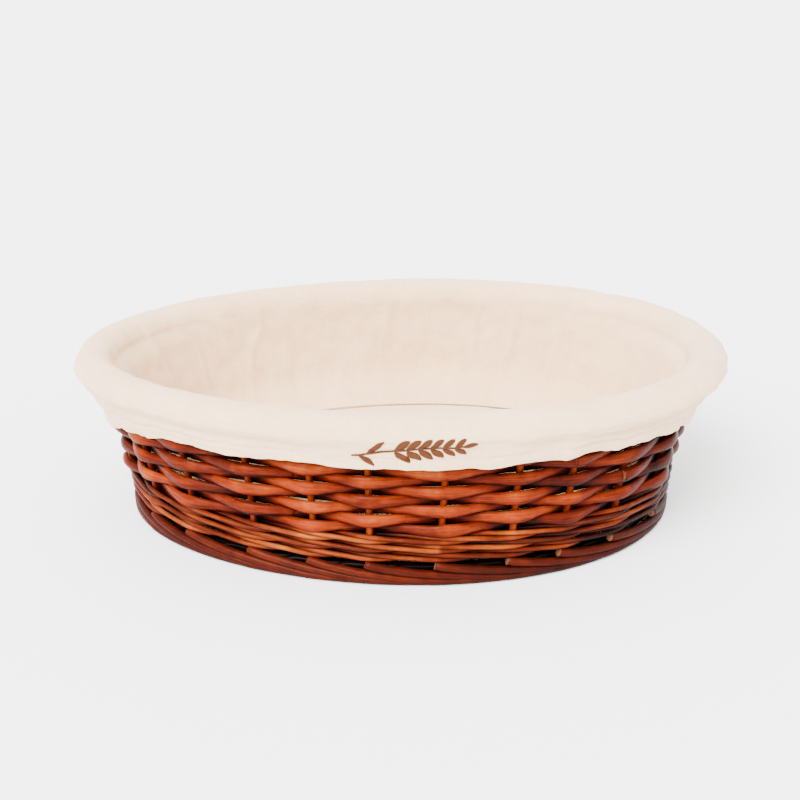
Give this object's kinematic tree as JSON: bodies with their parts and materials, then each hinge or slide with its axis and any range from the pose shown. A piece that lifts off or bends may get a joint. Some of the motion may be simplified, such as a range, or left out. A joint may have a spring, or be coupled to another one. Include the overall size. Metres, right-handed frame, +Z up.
{
  "type": "bread basket",
  "caption": "Oval stake-and-strand willow bread basket with a lift-out cotton liner whose elastic cuff folds over the rim.",
  "frame": {"origin": "middle of the basket's foot, on the table it stands on", "axes": "+X along the oval's long axis towards its blunter end, +Z up, -Y towards the embroidered front"},
  "size_m": [0.4, 0.2681, 0.1051],
  "materials": {
    "stained_willow": "red-brown stain under a gloss lacquer",
    "fine_willow": "thin rods, worn lighter, gloss lacquer",
    "dark_willow": "darker stain, gloss lacquer",
    "cream_cotton": "plain-woven matt cotton",
    "brown_thread": "satin-stitched thread with a slight sheen",
    "elastic": "covered elastic band"
  },
  "bodies": {
    "basket": {"stake_01": "stained_willow", "stake_02": "stained_willow", "stake_03": "stained_willow", "stake_04": "stained_willow", "stake_05": "stained_willow", "stake_06": "stained_willow", "stake_07": "stained_willow", "stake_08": "stained_willow", "stake_09": "stained_willow", "stake_10": "stained_willow", "stake_11": "stained_willow", "stake_12": "stained_willow", "stake_13": "stained_willow", "stake_14": "stained_willow", "stake_15": "stained_willow", "stake_16": "stained_willow", "stake_17": "stained_willow", "stake_18": "stained_willow", "stake_19": "stained_willow", "stake_20": "stained_willow", "stake_21": "stained_willow", "stake_22": "stained_willow", "stake_23": "stained_willow", "stake_24": "stained_willow", "siding_row_1": "stained_willow", "siding_row_2": "stained_willow", "siding_row_3": "stained_willow", "siding_row_4": "stained_willow", "siding_row_5": "stained_willow", "siding_row_6": "stained_willow", "siding_row_7": "stained_willow", "siding_row_8": "stained_willow", "siding_row_9": "stained_willow", "wale_1_rod_1": "fine_willow", "wale_1_rod_2": "fine_willow", "wale_1_rod_3": "fine_willow", "wale_2_rod_1": "fine_willow", "wale_2_rod_2": "fine_willow", "wale_2_rod_3": "fine_willow", "wale_3_rod_1": "fine_willow", "wale_3_rod_2": "fine_willow", "wale_3_rod_3": "fine_willow", "top_border_rod_1": "stained_willow", "top_border_rod_2": "stained_willow", "top_border_rod_3": "stained_willow", "foot_border_rod_1": "dark_willow", "foot_border_rod_2": "dark_willow", "foot_border_rod_3": "dark_willow", "base_weave": "dark_willow", "base_long_stick_1": "dark_willow", "base_long_stick_2": "dark_willow", "base_cross_stick_1": "dark_willow", "base_cross_stick_2": "dark_willow", "base_cross_stick_3": "dark_willow", "base_cross_stick_4": "dark_willow"},
    "liner": {"liner_floor": "cream_cotton", "liner_wall": "cream_cotton", "liner_cuff": "cream_cotton", "hem_elastic": "elastic", "embroidered_sprig": "brown_thread"}
  },
  "joints": [
    {"name": "liner_lift", "type": "slide", "parent": "basket", "child": "liner", "axis": [0, 0, 1], "range_m": [0, 0.1], "deforming": ["liner_cuff", "hem_elastic", "embroidered_sprig"]}
  ]
}
